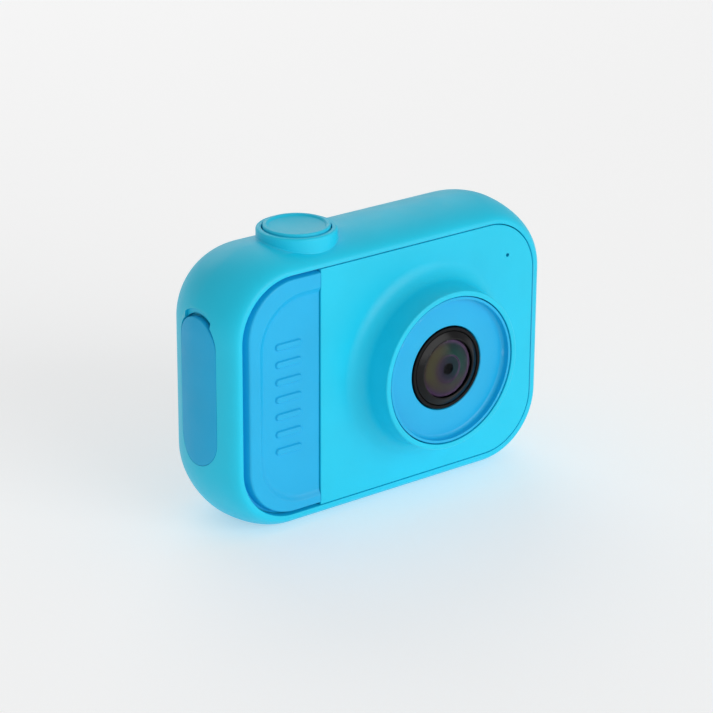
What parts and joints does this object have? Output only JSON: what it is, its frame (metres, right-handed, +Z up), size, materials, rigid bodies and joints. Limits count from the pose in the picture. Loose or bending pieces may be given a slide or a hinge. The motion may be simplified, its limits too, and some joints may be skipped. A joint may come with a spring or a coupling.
{
  "type": "kids digital camera",
  "caption": "Compact toy-like digital camera: soft pillow casing, domed lens on a round turret, top shutter button, side port cover, rear screen and keys.",
  "frame": {"origin": "middle of the flat strip under the casing that the camera stands on", "axes": "+X along the camera's width, the lens looks along -Y, +Z up"},
  "size_m": [0.0844, 0.0343, 0.0621],
  "materials": {
    "casing_plastic": "satin soft-touch moulding",
    "plate_plastic": "satin moulding",
    "cover_plastic": "satin moulding",
    "button_plastic": "satin moulding",
    "blue_plastic": "satin moulding",
    "key_plastic": "satin moulding",
    "port_rubber": "matt elastomer",
    "lens_black": "gloss black",
    "inner_black": "matt black",
    "lens_glass": "coated, polished",
    "filter_glass": "polished",
    "window_acrylic": "smoked gloss",
    "screen_panel": "dark panel",
    "component_black": "moulded package",
    "circuit_board": "solder mask",
    "plated_steel": "plated",
    "cell_foil": "pouch foil",
    "foam": "foam",
    "flex_film": "polyimide film",
    "card_plastic": "matt",
    "white_plastic": "moulded",
    "lead_red": "insulation",
    "lead_black": "insulation"
  },
  "bodies": {
    "camera": {"aperture_stop": "lens_black", "battery": "cell_foil", "battery_connector": "white_plastic", "battery_lead_negative": "lead_black", "battery_lead_positive": "lead_red", "board_screw_1": "plated_steel", "board_screw_2": "plated_steel", "board_screw_3": "plated_steel", "card_socket": "plated_steel", "case_screw_1": "plated_steel", "case_screw_2": "plated_steel", "case_screw_3": "plated_steel", "case_screw_4": "plated_steel", "casing": "casing_plastic", "front_lens": "lens_glass", "front_plate": "plate_plastic", "grip_inlay": "blue_plastic", "image_sensor": "component_black", "infrared_filter": "filter_glass", "lcd_module": "screen_panel", "lens_barrel": "lens_black", "lens_bezel": "blue_plastic", "lens_holder": "inner_black", "lens_retaining_ring": "lens_black", "main_board": "circuit_board", "memory_chip": "component_black", "microphone": "plated_steel", "middle_lens": "lens_glass", "port_cover_strap": "port_rubber", "processor": "component_black", "rear_cover": "cover_plastic", "rear_lens": "lens_glass", "screen_bracket": "inner_black", "screen_connector": "component_black", "screen_flex": "flex_film", "screen_gasket": "foam", "screen_window": "window_acrylic", "shutter_switch": "component_black", "speaker": "component_black", "switch_down": "component_black", "switch_left": "component_black", "switch_mode": "component_black", "switch_ok": "component_black", "switch_power": "component_black", "switch_right": "component_black", "switch_up": "component_black", "usb_socket": "plated_steel"},
    "shutter": {"shutter_button": "button_plastic"},
    "port_door": {"port_cover": "port_rubber"},
    "card": {"memory_card": "card_plastic"},
    "ok_key": {"key_ok": "key_plastic"},
    "up_key": {"key_up": "key_plastic"},
    "down_key": {"key_down": "key_plastic"},
    "left_key": {"key_left": "key_plastic"},
    "right_key": {"key_right": "key_plastic"},
    "power_button": {"power_key": "key_plastic"},
    "mode_button": {"mode_key": "key_plastic"}
  },
  "joints": [
    {"name": "shutter_press", "type": "slide", "parent": "camera", "child": "shutter", "axis": [0, 0, -1], "range_m": [0, 0.0006], "stiffness_N_per_m": 2500, "springref_m": -0.0002},
    {"name": "port_cover_hinge", "type": "hinge", "parent": "camera", "child": "port_door", "pos_m": [-0.0422, 0.0001, 0.01545], "axis": [0, -1, 0], "range_deg": [0, 105]},
    {"name": "card_push", "type": "slide", "parent": "camera", "child": "card", "axis": [1, 0, 0], "range_m": [0, 0.0006], "stiffness_N_per_m": 800, "springref_m": -0.0002},
    {"name": "ok_key_press", "type": "slide", "parent": "camera", "child": "ok_key", "axis": [0, -1, 0], "range_m": [0, 0.0004], "stiffness_N_per_m": 2500, "springref_m": -0.0002},
    {"name": "up_key_press", "type": "slide", "parent": "camera", "child": "up_key", "axis": [0, -1, 0], "range_m": [0, 0.0004], "stiffness_N_per_m": 2500, "springref_m": -0.0002},
    {"name": "down_key_press", "type": "slide", "parent": "camera", "child": "down_key", "axis": [0, -1, 0], "range_m": [0, 0.0004], "stiffness_N_per_m": 2500, "springref_m": -0.0002},
    {"name": "left_key_press", "type": "slide", "parent": "camera", "child": "left_key", "axis": [0, -1, 0], "range_m": [0, 0.0004], "stiffness_N_per_m": 2500, "springref_m": -0.0002},
    {"name": "right_key_press", "type": "slide", "parent": "camera", "child": "right_key", "axis": [0, -1, 0], "range_m": [0, 0.0004], "stiffness_N_per_m": 2500, "springref_m": -0.0002},
    {"name": "power_button_press", "type": "slide", "parent": "camera", "child": "power_button", "axis": [0, -1, 0], "range_m": [0, 0.0004], "stiffness_N_per_m": 2500, "springref_m": -0.0002},
    {"name": "mode_button_press", "type": "slide", "parent": "camera", "child": "mode_button", "axis": [0, -1, 0], "range_m": [0, 0.0004], "stiffness_N_per_m": 2500, "springref_m": -0.0002}
  ]
}
